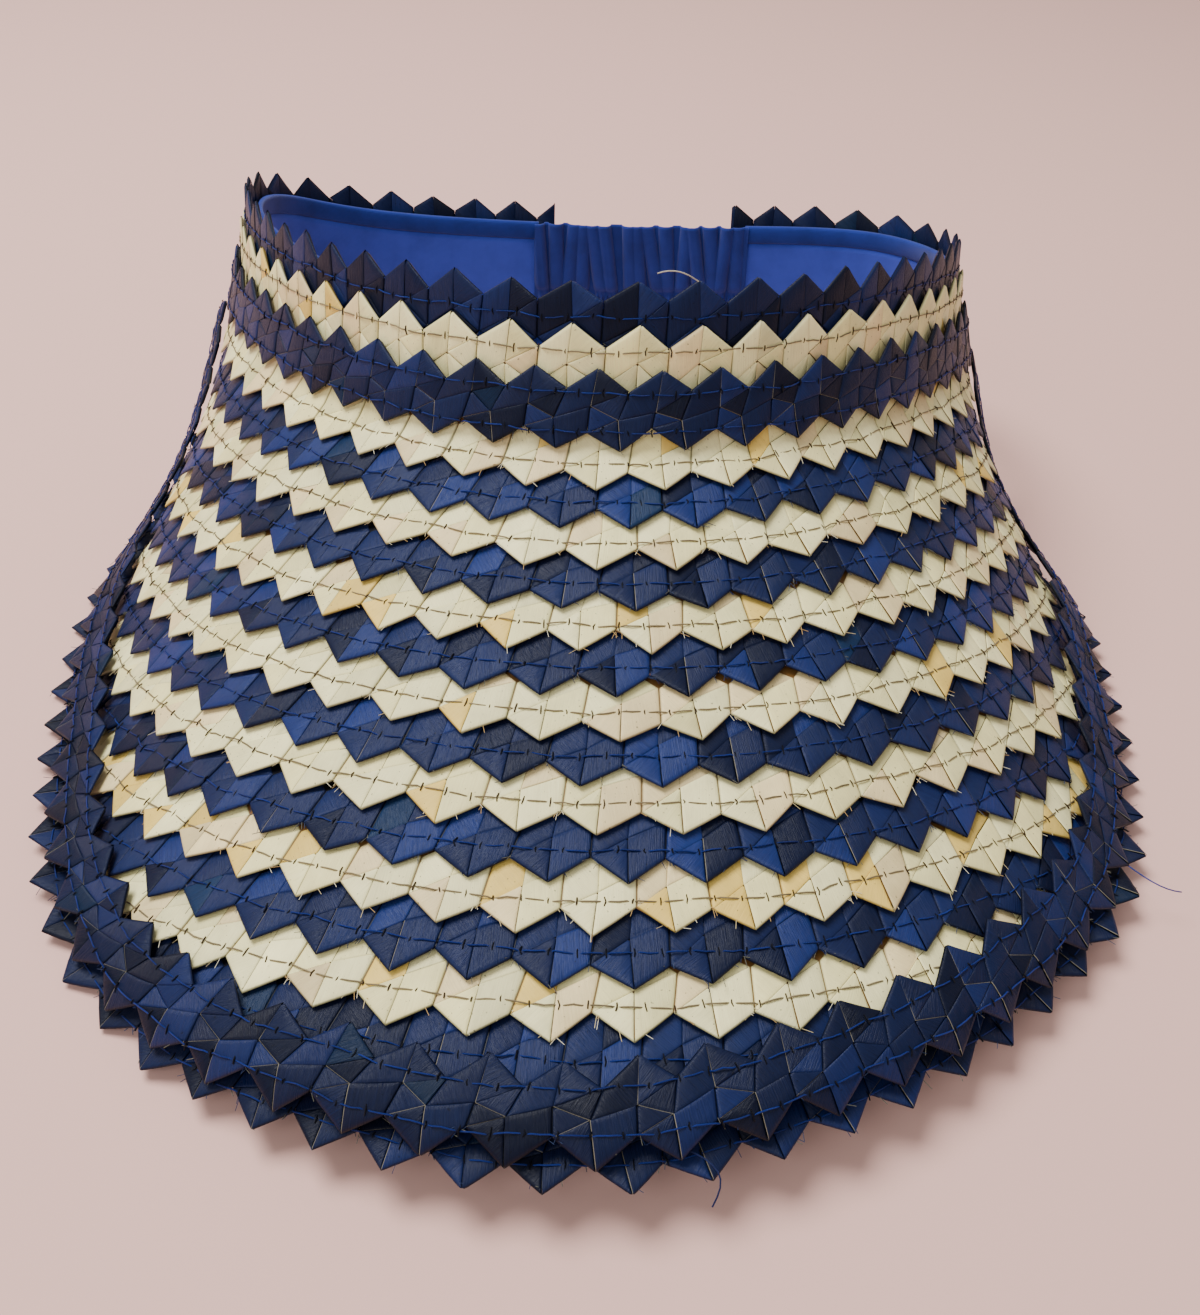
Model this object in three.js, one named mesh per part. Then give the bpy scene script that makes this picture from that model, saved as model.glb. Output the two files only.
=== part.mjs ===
// A sun visor sewn from plaited palm-leaf braids with sawtooth edges.
// Three braid courses make the low crown, fourteen make the sloping brim, and a
// double braid binds the brim's edge. A cloth lining and a gathered elastic casing
// finish the inside. Millimetres, +Z up, the wearer faces -Y, +X is the right side of
// the front view.
import * as THREE from 'three';

// Head opening, measured at the seam where the brim meets the crown
const HALF_WIDTH = 98.3;
const FRONT_REACH = 121;
const BACK_REACH = 47.3;

// Crown wall
const CROWN_HEIGHT = 32.8;
const CROWN_LEAN_DEG = 12;

// Brim slope below the horizontal at the seam, and how it eases per millimetre
const FRONT_SLOPE_DEG = 43;
const SIDE_SLOPE_DEG = 65.5;
const FRONT_EASE_DEG = -0.057;
const SIDE_EASE_DEG = -0.069;
const SEAM_BLEND = 5;

// The brim is steeper again behind the sides
const WAIST_LEFT_DEG = 13;
const WAIST_RIGHT_DEG = 17;
const WAIST_FROM_DEG = 55;
const WAIST_SPAN_DEG = 30;

// How the seam line departs from a level one: sides up, and the left side higher
const SEAM_SAG = -2;
const SIDE_RISE = 4.6;

// Distance from the seam down to the middle of the border at the front
const BRIM_DEPTH = 123.5;
const BRIM_ROWS = 14;

// Braid sizes
const BRAID_WIDTH = 16.4;
const STRAW = 1.1;
const CLEARANCE = 0.3;
const TOOTH_SHARE = 0.33;
const CROWN_PITCH = 12;
const BRIM_PITCH = 13.5;
const BORDER_PITCH = 12.4;
const UNDER_PITCH = 11.4;
const UNDER_REVEAL = 3.3;
const COURSE_TUCK = 3.2;
const COURSE_END = 7.8;

// At the sides the border turns outward about a line inside its middle
const FLARE_LEFT_DEG = 41;
const FLARE_RIGHT_DEG = 34;
const FLARE_FROM_DEG = 18;
const FLARE_SPAN_DEG = 14;
const FLARE_LINE = 0.8;

// Length of the crown band from its front middle to each end, along the rim
const BAND_LEFT = 260;
const BAND_RIGHT = 236;

// Cloth parts
const LINING = 1;
const LINING_DROP = 5;
const LINING_FOOT = 2.5;
const BINDING_HEIGHT = 5;
const BINDING = 1.6;
const CASING = 1;
const CASING_LAP = 4.5;
const CASING_FOLDS = 13;
const CASING_FOLD_DEPTH = 2.2;
const CASING_FOOT = 1;

// Steepest slopes tried for the surface it rests on, as rise over run
const STEEPEST_REST = 0.3;
const LARGEST_ROLL = 0.05;

// Weight of each material, in grams per cubic centimetre
const STRAW_WEIGHT = 0.6;
const CLOTH_WEIGHT = 0.3;

const STRAW_BLUE = 0x1b2a5c;
const STRAW_NATURAL = 0xe3d3ae;
const CLOTH_BLUE = 0x20408f;
const BINDING_BLUE = 0x1a3272;

// The brim's plan: where the middle of the border runs, as an angle from the front
// and as shares of BRIM_DEPTH on the left and on the right
const BORDER_ROUTE = [
  { angle: 0, left: 1, right: 1 },
  { angle: 10, left: 0.984, right: 0.947 },
  { angle: 20, left: 0.947, right: 0.882 },
  { angle: 30, left: 0.845, right: 0.819 },
  { angle: 40, left: 0.707, right: 0.704 },
  { angle: 50, left: 0.601, right: 0.57 },
  { angle: 58, left: 0.514, right: 0.482 },
  { angle: 66, left: 0.417, right: 0.4 },
  { angle: 74, left: 0.291, right: 0.272 },
  { angle: 81, left: 0.159, right: 0.147 },
  { angle: 88, left: 0.016, right: 0.016 },
];

// Each brim course: its tooth pitch as a share of BRIM_PITCH, and where its middle
// tooth sits, as a share of one pitch to the right of the front middle
const BRIM_COURSES = [
  { pitch: 0.978, shift: -0.1 },
  { pitch: 1, shift: 0.4 },
  { pitch: 1.055, shift: -0.02 },
  { pitch: 1, shift: 0.45 },
  { pitch: 0.975, shift: -0.29 },
  { pitch: 1, shift: 0.2 },
  { pitch: 1.035, shift: 0.28 },
  { pitch: 1.02, shift: -0.2 },
  { pitch: 1.058, shift: 0.03 },
  { pitch: 1, shift: 0.4 },
  { pitch: 0.976, shift: 0 },
  { pitch: 0.98, shift: 0.45 },
  { pitch: 0.987, shift: -0.5 },
  { pitch: 0.98, shift: 0.1 },
];

const RAD = Math.PI / 180;
const TOOTH = TOOTH_SHARE * CROWN_PITCH;
const LAYER = STRAW + CLEARANCE;
const CROWN_STEP = (CROWN_HEIGHT - BRAID_WIDTH) / 2;
const BRIM_STEP = (BRIM_DEPTH - BRAID_WIDTH / 8) / BRIM_ROWS;

const mix = (a, b, share) => a + (b - a) * share;

function smooth(value) {
  const share = THREE.MathUtils.clamp(value, 0, 1);
  return share * share * (3 - 2 * share);
}

// The egg-shaped plan of the head opening at angle q from the front, with its
// outward direction
function plan(q) {
  const middle = (FRONT_REACH + BACK_REACH) / 2;
  const egg = (FRONT_REACH - BACK_REACH) / 2;
  const s = Math.sin(q);
  const c = Math.cos(q);
  const along = new THREE.Vector3(HALF_WIDTH * c, middle * s + 2 * egg * c * s, 0).normalize();
  return {
    point: new THREE.Vector3(HALF_WIDTH * s, -(middle * c + egg * c * c), 0),
    outward: new THREE.Vector3(along.y, -along.x, 0),
  };
}

// The wall's slope below the horizontal at depth t from the seam. Depth is negative
// on the crown and positive on the brim.
function slope(q, t) {
  const front = Math.max(Math.cos(q), 0) ** 2;
  const start = mix(SIDE_SLOPE_DEG, FRONT_SLOPE_DEG, front);
  const ease = mix(SIDE_EASE_DEG, FRONT_EASE_DEG, front);
  const waist = q < 0 ? WAIST_LEFT_DEG : WAIST_RIGHT_DEG;
  const behind = smooth((Math.abs(q) / RAD - WAIST_FROM_DEG) / WAIST_SPAN_DEG);
  const brim = start + waist * behind + ease * Math.max(t, 0);
  return mix(90 - CROWN_LEAN_DEG, brim, smooth(t / (2 * SEAM_BLEND) + 0.5)) * RAD;
}

// A point of the visor's middle surface, with its outward normal
function surface(q, t) {
  const { point, outward } = plan(q);
  const steps = Math.max(2, Math.ceil(Math.abs(t) / 3));
  let out = 0;
  let drop = 0;
  for (let i = 0; i < steps; i += 1) {
    const angle = slope(q, ((i + 0.5) / steps) * t);
    out += (Math.cos(angle) * t) / steps;
    drop += (Math.sin(angle) * t) / steps;
  }
  const fade = THREE.MathUtils.clamp(1 - t / BRIM_DEPTH, 0, 1);
  const rise = SEAM_SAG * Math.cos(2 * q) - SIDE_RISE * Math.sin(q) ** 5 * Math.min(fade, 1);
  const angle = slope(q, t);
  const normal = outward.clone().multiplyScalar(Math.sin(angle));
  normal.z = Math.cos(angle);
  point.addScaledVector(outward, out);
  point.z = rise - drop;
  return { point, normal };
}

// Where a course at depth t lies at angle q, as a function of the distance across it
function courseFrame(q, t) {
  return (across) => surface(q, t + across);
}

// A list of angles that step evenly along the line at depth t: one for each half
// tooth, with both ends added
function halfTeeth(t, from, to, pitch, shift) {
  const samples = 720;
  const line = [];
  let length = 0;
  let last = surface(-Math.PI, t).point;
  for (let i = 0; i <= samples; i += 1) {
    const q = -Math.PI + (2 * Math.PI * i) / samples;
    const { point } = surface(q, t);
    length += point.distanceTo(last);
    last = point;
    line.push({ q, length });
  }
  const middle = line[samples / 2].length;
  const angleAt = (distance) => {
    const wanted = distance + middle;
    let k = 1;
    while (k < samples && line[k].length < wanted) k += 1;
    const a = line[k - 1];
    const b = line[k];
    return mix(a.q, b.q, (wanted - a.length) / (b.length - a.length));
  };
  const lengthAt = (q) => {
    const place = ((q + Math.PI) / (2 * Math.PI)) * samples;
    const k = THREE.MathUtils.clamp(Math.floor(place), 0, samples - 1);
    return mix(line[k].length, line[k + 1].length, place - k) - middle;
  };
  return columns(lengthAt(from), lengthAt(to), pitch, shift).map((column) => ({
    ...column,
    q: angleAt(column.distance),
  }));
}

// Places along a braid from one length to another. Each half tooth gets a column,
// and each column says how far it is from a tooth tip towards a valley.
function columns(from, to, pitch, shift) {
  const half = pitch / 2;
  const spare = 0.15 * half;
  const list = [from];
  for (let i = Math.ceil((from + spare) / half - 2 * shift); ; i += 1) {
    const distance = (i + 2 * shift) * half;
    if (distance > to - spare) break;
    if (distance > from + spare) list.push(distance);
  }
  list.push(to);
  return list.map((distance) => {
    const turn = distance / pitch - shift;
    const wave = 2 * Math.abs(turn - Math.round(turn));
    return { distance, wave };
  });
}

// A closed strip of wall. Each rung is a place along it with a list of points across
// it, and each of these points has a front and a back.
function strip(rungs) {
  const across = rungs[0].length;
  const positions = [];
  for (const rung of rungs) {
    for (const { front, back } of rung) {
      positions.push(...front.toArray(), ...back.toArray());
    }
  }
  const at = (i, j, side) => 2 * (i * across + j) + side;
  const faces = [];
  const quad = (a, b, c, d) => faces.push(a, b, c, a, c, d);
  for (let i = 0; i < rungs.length - 1; i += 1) {
    for (let j = 0; j < across - 1; j += 1) {
      quad(at(i, j, 0), at(i, j + 1, 0), at(i + 1, j + 1, 0), at(i + 1, j, 0));
      quad(at(i, j, 1), at(i + 1, j, 1), at(i + 1, j + 1, 1), at(i, j + 1, 1));
    }
    const last = across - 1;
    quad(at(i, 0, 0), at(i + 1, 0, 0), at(i + 1, 0, 1), at(i, 0, 1));
    quad(at(i, last, 0), at(i, last, 1), at(i + 1, last, 1), at(i + 1, last, 0));
  }
  const end = rungs.length - 1;
  for (let j = 0; j < across - 1; j += 1) {
    quad(at(0, j, 0), at(0, j, 1), at(0, j + 1, 1), at(0, j + 1, 0));
    quad(at(end, j, 0), at(end, j + 1, 0), at(end, j + 1, 1), at(end, j, 1));
  }
  const geometry = new THREE.BufferGeometry();
  geometry.setAttribute('position', new THREE.Float32BufferAttribute(positions, 3));
  geometry.setIndex(faces);
  geometry.computeVertexNormals();
  return geometry;
}

// One place across a braid: its distance from the middle line and its height on the
// normal, made into a front point and a back point
function place(frame, across, lift, wall) {
  const { point, normal } = frame(across);
  return {
    front: point.clone().addScaledVector(normal, lift + wall / 2),
    back: point.clone().addScaledVector(normal, lift - wall / 2),
  };
}

// The rungs of a braid with sawtooth edges. Its section is a list of { across, lift }
// from the upper edge to the lower one, and a tooth tip on one edge stands opposite a
// valley on the other. A rung may say how far down its lower edge can reach.
function braidRungs(frames, section) {
  const first = section[0];
  const second = section[1];
  const last = section[section.length - 1];
  const before = section[section.length - 2];
  const inward = (edge, next, cut) => {
    const share = cut / Math.abs(next.across - edge.across);
    return {
      across: mix(edge.across, next.across, share),
      lift: mix(edge.lift, next.lift, share),
    };
  };
  return frames.map(({ frame, wave, reach = last.across }) => {
    const upper = inward(first, second, TOOTH * (1 - wave));
    const lower = inward(last, before, Math.max(TOOTH * wave, last.across - reach));
    const line = [upper, ...section.slice(1, -1), lower];
    return line.map(({ across, lift }) => place(frame, across, lift, STRAW));
  });
}

function piece(name, geometry, color, roughness) {
  const material = new THREE.MeshStandardMaterial({ color, roughness, metalness: 0 });
  const mesh = new THREE.Mesh(geometry, material);
  mesh.name = name;
  return mesh;
}

const straw = (name, rungs, blue) =>
  piece(name, strip(rungs), blue ? STRAW_BLUE : STRAW_NATURAL, blue ? 0.5 : 0.6);

const cloth = (name, rungs, color) => piece(name, strip(rungs), color, 0.9);

// A braid's section that tilts so that each course laps over the one beside it. It
// may bend at one place between its edges.
function tilted(lift, tilt, bend) {
  const half = BRAID_WIDTH / 2;
  const stations = bend === undefined ? [-half, half] : [-half, bend, half];
  return stations.map((across) => ({ across, lift: lift + tilt * across }));
}

// The angles where the crown band ends
function bandEnds() {
  const ends = halfTeeth(-CROWN_HEIGHT, -Math.PI, Math.PI, CROWN_PITCH, 0);
  const near = (distance) =>
    ends.reduce((a, b) =>
      Math.abs(b.distance - distance) < Math.abs(a.distance - distance) ? b : a,
    ).q;
  return { left: near(-BAND_LEFT), right: near(BAND_RIGHT) };
}

// Crown: the top course lies lowest, the second laps over it, and the third laps over
// the second and over the first course of the brim
function crownCourses(ends) {
  const tilt = -LAYER / CROWN_STEP;
  const teeth = halfTeeth(-CROWN_HEIGHT, ends.left, ends.right, CROWN_PITCH, 0.5);
  const sections = [tilted(0, tilt), tilted(0, tilt), tilted(LAYER, 0)];
  return sections.map((section, row) => {
    const depth = -(CROWN_HEIGHT - BRAID_WIDTH / 2 - row * CROWN_STEP);
    const frames = teeth.map(({ q, wave }) => ({ frame: courseFrame(q, depth), wave }));
    return straw(`crown_braid_${row + 1}`, braidRungs(frames, section), row !== 1);
  });
}

// The border's middle line on one side, as an angle and a depth at each station
function borderLine() {
  const station = (side, key) => (row) => new THREE.Vector2(side * row.angle, row[key] * BRIM_DEPTH);
  const left = BORDER_ROUTE.slice(1).map(station(-1, 'left')).reverse();
  const right = BORDER_ROUTE.map(station(1, 'right'));
  return new THREE.SplineCurve([...left, ...right]);
}

// The border's depth at angle q
function borderDepth(line, q) {
  const angle = q / RAD;
  let low = 0;
  let high = 1;
  for (let i = 0; i < 30; i += 1) {
    const middle = (low + high) / 2;
    if (line.getPoint(middle).x < angle) low = middle;
    else high = middle;
  }
  return line.getPoint(low).y;
}

// How much of its turn outward the border has at angle q
function flareShare(q) {
  return smooth((Math.abs(q) / RAD - FLARE_FROM_DEG) / FLARE_SPAN_DEG);
}

// The depth to which courses run under the border at angle q. Where the border turns
// outward they stop short of its turn.
function courseLimit(line, q) {
  const side = RAD / 2;
  const depth = borderDepth(line, q);
  const rise = borderDepth(line, q + side) - borderDepth(line, q - side);
  const run = surface(q + side, depth).point.distanceTo(surface(q - side, depth).point);
  const tuck = mix(COURSE_TUCK, -FLARE_LINE, flareShare(q));
  return depth + tuck * Math.hypot(1, rise / run);
}

// The angle on one side where a course at this depth runs under the border
function courseEnd(line, depth, side) {
  let inside = 0;
  let outside = BORDER_ROUTE[BORDER_ROUTE.length - 1].angle * RAD;
  for (let i = 0; i < 30; i += 1) {
    const middle = (inside + outside) / 2;
    if (courseLimit(line, side * middle) > depth) inside = middle;
    else outside = middle;
  }
  return side * inside;
}

// Brim: each course laps over the next one out, and its ends narrow beneath the border
function brimCourses(line) {
  const tilt = LAYER / BRIM_STEP;
  const half = BRAID_WIDTH / 2;
  return BRIM_COURSES.slice(0, BRIM_ROWS).map(({ pitch, shift }, row) => {
    const tips = (row + 1) * BRIM_STEP;
    const depth = tips - half;
    const left = courseEnd(line, tips - COURSE_END, -1);
    const right = courseEnd(line, tips - COURSE_END, 1);
    const teeth = halfTeeth(tips, left, right, pitch * BRIM_PITCH, shift);
    const frames = teeth.map(({ q, wave }) => ({
      frame: courseFrame(q, depth),
      wave,
      reach: courseLimit(line, q) - depth,
    }));
    const section = row === 0 ? tilted(0, tilt, -depth) : tilted(0, tilt);
    const number = String(row + 4).padStart(2, '0');
    return straw(`brim_braid_${number}`, braidRungs(frames, section), row % 2 === 1);
  });
}

// A braid that follows the border's line
function borderBraid(line, pitch, shift, offset, from, to) {
  const at = (share) => {
    const spot = line.getPoint(share);
    return surface(spot.x * RAD, spot.y);
  };
  const samples = 400;
  const track = [];
  let length = 0;
  let last = at(from).point;
  for (let i = 0; i <= samples; i += 1) {
    const share = mix(from, to, i / samples);
    const { point } = at(share);
    length += point.distanceTo(last);
    last = point;
    track.push({ share, length });
  }
  const shareAt = (distance) => {
    let k = 1;
    while (k < samples && track[k].length < distance) k += 1;
    const a = track[k - 1];
    const b = track[k];
    return mix(a.share, b.share, (distance - a.length) / (b.length - a.length));
  };
  return columns(0, length, pitch, shift).map(({ distance, wave }) => ({
    frame: crossing(line, shareAt(distance), offset),
    wave,
  }));
}

// A line square across the border's route, bent to the surface and turned outward past
// the flare's line, as a function of the distance across it
function crossing(line, share, offset) {
  const { x, y } = line.getPoint(share);
  const nudge = 0.001;
  const heading = line
    .getPoint(Math.min(share + nudge, 1))
    .sub(line.getPoint(Math.max(share - nudge, 0)));
  const q = x * RAD;
  const perDegree = surface(q + RAD / 2, y).point.distanceTo(surface(q - RAD / 2, y).point);
  const run = heading.x * perDegree;
  const length = Math.hypot(run, heading.y);
  const flat = (step) => {
    const reach = step / length;
    const turn = (-heading.y * reach) / perDegree;
    return surface(q + turn * RAD, y + run * reach);
  };
  const flare = (q < 0 ? FLARE_LEFT_DEG : FLARE_RIGHT_DEG) * RAD * flareShare(q);
  return (across) => {
    const step = offset + across;
    const past = step + FLARE_LINE;
    if (past <= CLEARANCE) return flat(step);
    const inner = step - past * (1 - Math.cos(flare));
    const { point, normal } = flat(inner);
    const outward = flat(inner + CLEARANCE).point.sub(point).normalize();
    point.addScaledVector(normal, past * Math.sin(flare));
    normal.multiplyScalar(Math.cos(flare)).addScaledVector(outward, -Math.sin(flare));
    return { point, normal };
  };
}

// Border: one braid over the ends of the courses and one beneath them that shows past
// the first. Their outer edges come together.
function border(line) {
  const half = BRAID_WIDTH / 2;
  const reach = (LAYER / BRIM_STEP) * half + STRAW / 2;
  const over = reach + CLEARANCE + STRAW / 2;
  const meet = LAYER / 2;
  const topSection = [
    { across: -half, lift: over },
    { across: COURSE_TUCK + CLEARANCE, lift: over },
    { across: half, lift: meet },
  ];
  const underSection = [
    { across: -half, lift: -over },
    { across: -FLARE_LINE - UNDER_REVEAL, lift: -over },
    { across: half, lift: -meet },
  ];
  const top = borderBraid(line, BORDER_PITCH, 0.5, 0, 0, 1);
  const under = borderBraid(line, UNDER_PITCH, 0, UNDER_REVEAL, 0.08, 0.92);
  return [
    straw('border_braid_top', braidRungs(top, topSection), true),
    straw('border_braid_under', braidRungs(under, underSection), true),
  ];
}

// A plain band of cloth inside the crown between two heights above the seam
function band(from, to, low, high, lift, wall) {
  const count = Math.ceil((HALF_WIDTH * (to - from)) / BRAID_WIDTH);
  const rungs = [];
  for (let i = 0; i <= count; i += 1) {
    const q = mix(from, to, i / count);
    const edges = [-high, -low].map((t) => ({ frame: courseFrame(q, t) }));
    rungs.push(edges.map(({ frame }) => place(frame, 0, lift, wall)));
  }
  return rungs;
}

const LINING_LIFT = -(LAYER + STRAW / 2 + CLEARANCE + LINING / 2);
const LINING_TOP = CROWN_HEIGHT - LINING_DROP;

function lining(from, to) {
  const seam = LINING_TOP - BINDING_HEIGHT;
  const body = band(from, to, LINING_FOOT, seam - CLEARANCE, LINING_LIFT, LINING);
  const hem = band(from, to, seam, LINING_TOP, LINING_LIFT, BINDING);
  return [cloth('lining', body, CLOTH_BLUE), cloth('lining_binding', hem, BINDING_BLUE)];
}

// The elastic casing at the back: a gathered wall whose folds run up and down
function casing(from, to) {
  const lift = LINING_LIFT + LINING / 2 - CASING / 2 - CASING_FOLD_DEPTH / 2;
  const rungs = [];
  for (let i = 0; i <= 2 * CASING_FOLDS; i += 1) {
    const q = mix(from, to, i / (2 * CASING_FOLDS));
    const fold = (i % 2 ? 1 : -1) * (CASING_FOLD_DEPTH / 2);
    const edges = [-LINING_TOP, -CASING_FOOT].map((t) => courseFrame(q, t));
    rungs.push(edges.map((frame) => place(frame, 0, lift + fold, CASING)));
  }
  return cloth('elastic_casing', rungs, CLOTH_BLUE);
}

// The angle that a length covers along the rim near the back
const backAngle = (length) => length / HALF_WIDTH;

// The visor's parts, sorted by material
function visor() {
  const ends = bandEnds();
  const line = borderLine();
  const lap = backAngle(CASING_LAP);
  const gap = backAngle(CLEARANCE);
  const straws = [...crownCourses(ends), ...brimCourses(line), ...border(line)];
  const cloths = [
    ...lining(ends.left + lap + gap, ends.right - lap - gap),
    casing(ends.right - lap, ends.left + lap + 2 * Math.PI),
  ];
  return { straws, cloths };
}

// The centre of mass, from the volume under each triangle and its material's weight
function centreOfMass({ straws, cloths }) {
  const centre = new THREE.Vector3();
  const corner = [0, 1, 2].map(() => new THREE.Vector3());
  let mass = 0;
  const add = ({ geometry }, weight) => {
    const faces = geometry.index.array;
    for (let i = 0; i < faces.length; i += 3) {
      corner.forEach((point, k) => point.fromBufferAttribute(geometry.attributes.position, faces[i + k]));
      const part = (weight * corner[0].dot(corner[1].clone().cross(corner[2]))) / 6;
      mass += part;
      for (const point of corner) centre.addScaledVector(point, part / 4);
    }
  };
  straws.forEach((mesh) => add(mesh, STRAW_WEIGHT));
  cloths.forEach((mesh) => add(mesh, CLOTH_WEIGHT));
  return centre.divideScalar(mass);
}

// Where a function with one low point between two limits is lowest
function lowest(value, low, high) {
  for (let i = 0; i < 50; i += 1) {
    const a = mix(low, high, 1 / 3);
    const b = mix(low, high, 2 / 3);
    if (value(a) > value(b)) low = a;
    else high = b;
  }
  return (low + high) / 2;
}

// The direction that points up when the visor lies on a level surface by its own
// weight: the one in which its centre of mass is as low as it can be. It is given by
// the surface's slopes across the visor and along it.
function restingUp({ straws, cloths }) {
  const centre = centreOfMass({ straws, cloths });
  const points = [];
  for (const { geometry } of straws) {
    const { position } = geometry.attributes;
    for (let i = 0; i < position.count; i += 1) {
      points.push(new THREE.Vector3().fromBufferAttribute(position, i).sub(centre));
    }
  }
  const up = (a, b) => new THREE.Vector3(-a, -b, 1).normalize();
  const height = (a, b) => {
    const direction = up(a, b);
    return Math.max(...points.map((point) => -point.dot(direction)));
  };
  const bestB = (a) => lowest((b) => height(a, b), 0, STEEPEST_REST);
  const a = lowest((across) => height(across, bestB(across)), -LARGEST_ROLL, LARGEST_ROLL);
  return up(a, bestB(a));
}

// Lay the visor on the level plane at z = 0, with the middle of its box at the origin
function layDown(parts) {
  const object = new THREE.Group();
  const body = new THREE.Group();
  body.add(...parts.straws, ...parts.cloths);
  body.quaternion.setFromUnitVectors(restingUp(parts), new THREE.Vector3(0, 0, 1));
  object.add(body);
  object.updateMatrixWorld(true);
  const box = new THREE.Box3().setFromObject(object, true);
  const middle = box.getCenter(new THREE.Vector3());
  object.position.set(-middle.x, -middle.y, -box.min.z);
  return object;
}

export default layDown(visor());
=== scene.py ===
import math

import bpy
import numpy as np
from mathutils import Matrix, Vector

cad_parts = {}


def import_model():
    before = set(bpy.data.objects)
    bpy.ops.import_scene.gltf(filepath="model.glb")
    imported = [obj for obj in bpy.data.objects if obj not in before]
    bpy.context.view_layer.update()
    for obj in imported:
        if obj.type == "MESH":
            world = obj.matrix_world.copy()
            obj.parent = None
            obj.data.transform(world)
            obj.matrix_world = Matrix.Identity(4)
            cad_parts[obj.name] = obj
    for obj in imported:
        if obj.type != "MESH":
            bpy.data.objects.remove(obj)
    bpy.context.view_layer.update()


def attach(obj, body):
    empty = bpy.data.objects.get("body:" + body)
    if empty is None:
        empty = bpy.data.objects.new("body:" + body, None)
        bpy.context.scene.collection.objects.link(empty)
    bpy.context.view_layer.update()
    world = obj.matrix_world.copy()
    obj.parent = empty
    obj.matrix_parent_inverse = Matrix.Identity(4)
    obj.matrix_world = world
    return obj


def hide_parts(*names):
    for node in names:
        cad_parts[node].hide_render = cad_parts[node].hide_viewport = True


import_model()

# The visor's own sizes in millimetres, as its source has them
HALF_WIDTH, FRONT_REACH, BACK_REACH = 98.3, 121.0, 47.3
CROWN_HEIGHT, CROWN_LEAN = 32.8, 12.0
FRONT_SLOPE, SIDE_SLOPE = 43.0, 65.5
FRONT_EASE, SIDE_EASE = -0.057, -0.069
SEAM_BLEND = 5.0
WAIST_LEFT, WAIST_RIGHT, WAIST_FROM, WAIST_SPAN = 13.0, 17.0, 55.0, 30.0
SEAM_SAG, SIDE_RISE = -2.0, 4.6
BRIM_DEPTH, BRIM_ROWS = 123.5, 14
BRAID_WIDTH, STRAW, CLEARANCE = 16.4, 1.1, 0.3
CROWN_PITCH, BRIM_PITCH, BORDER_PITCH, UNDER_PITCH = 12.0, 13.5, 12.4, 11.4
UNDER_REVEAL, COURSE_TUCK, COURSE_END = 3.3, 3.2, 7.8
FLARE_LEFT, FLARE_RIGHT, FLARE_FROM, FLARE_SPAN, FLARE_LINE = 41.0, 34.0, 18.0, 14.0, 0.8
BAND_LEFT, BAND_RIGHT = 260.0, 236.0
LINING, LINING_DROP, LINING_FOOT, BINDING_HEIGHT = 1.0, 5.0, 2.5, 5.0
CASING_LAP, CASING_FOOT = 4.5, 1.0
LAYER = STRAW + CLEARANCE
HALF = BRAID_WIDTH / 2
CROWN_STEP = (CROWN_HEIGHT - BRAID_WIDTH) / 2
BRIM_STEP = (BRIM_DEPTH - BRAID_WIDTH / 8) / BRIM_ROWS
BORDER_ROUTE = [
    (0, 1, 1), (10, 0.984, 0.947), (20, 0.947, 0.882), (30, 0.845, 0.819),
    (40, 0.707, 0.704), (50, 0.601, 0.57), (58, 0.514, 0.482), (66, 0.417, 0.4),
    (74, 0.291, 0.272), (81, 0.159, 0.147), (88, 0.016, 0.016),
]
BRIM_COURSES = [
    (0.978, -0.1), (1, 0.4), (1.055, -0.02), (1, 0.45), (0.975, -0.29), (1, 0.2),
    (1.035, 0.28), (1.02, -0.2), (1.058, 0.03), (1, 0.4), (0.976, 0), (0.98, 0.45),
    (0.987, -0.5), (0.98, 0.1),
]

# Where the visor's own frame lies when it rests: its origin, and the direction in it
# that points up
ORIGIN = Vector((0.7837, 95.7678, 36.7257))
REST_UP = Vector((0.009172, -0.257137, 0.966332))
TURN = np.array(REST_UP.rotation_difference(Vector((0, 0, 1))).to_matrix())


def world(points):
    return (points @ TURN.T + np.array(ORIGIN)) / 1000


def smooth(value):
    share = np.clip(value, 0, 1)
    return share * share * (3 - 2 * share)


def plan(q):
    middle, egg = (FRONT_REACH + BACK_REACH) / 2, (FRONT_REACH - BACK_REACH) / 2
    s, c = np.sin(q), np.cos(q)
    dx, dy = HALF_WIDTH * c, middle * s + 2 * egg * c * s
    size = np.hypot(dx, dy)
    return HALF_WIDTH * s, -(middle * c + egg * c * c), dy / size, -dx / size


def slope(q, t):
    front = np.maximum(np.cos(q), 0) ** 2
    start = SIDE_SLOPE + (FRONT_SLOPE - SIDE_SLOPE) * front
    ease = SIDE_EASE + (FRONT_EASE - SIDE_EASE) * front
    waist = np.where(q < 0, WAIST_LEFT, WAIST_RIGHT)
    behind = smooth((np.abs(np.degrees(q)) - WAIST_FROM) / WAIST_SPAN)
    brim = start + waist * behind + ease * np.maximum(t, 0)
    lean = 90 - CROWN_LEAN
    return np.radians(lean + (brim - lean) * smooth(t / (2 * SEAM_BLEND) + 0.5))


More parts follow.
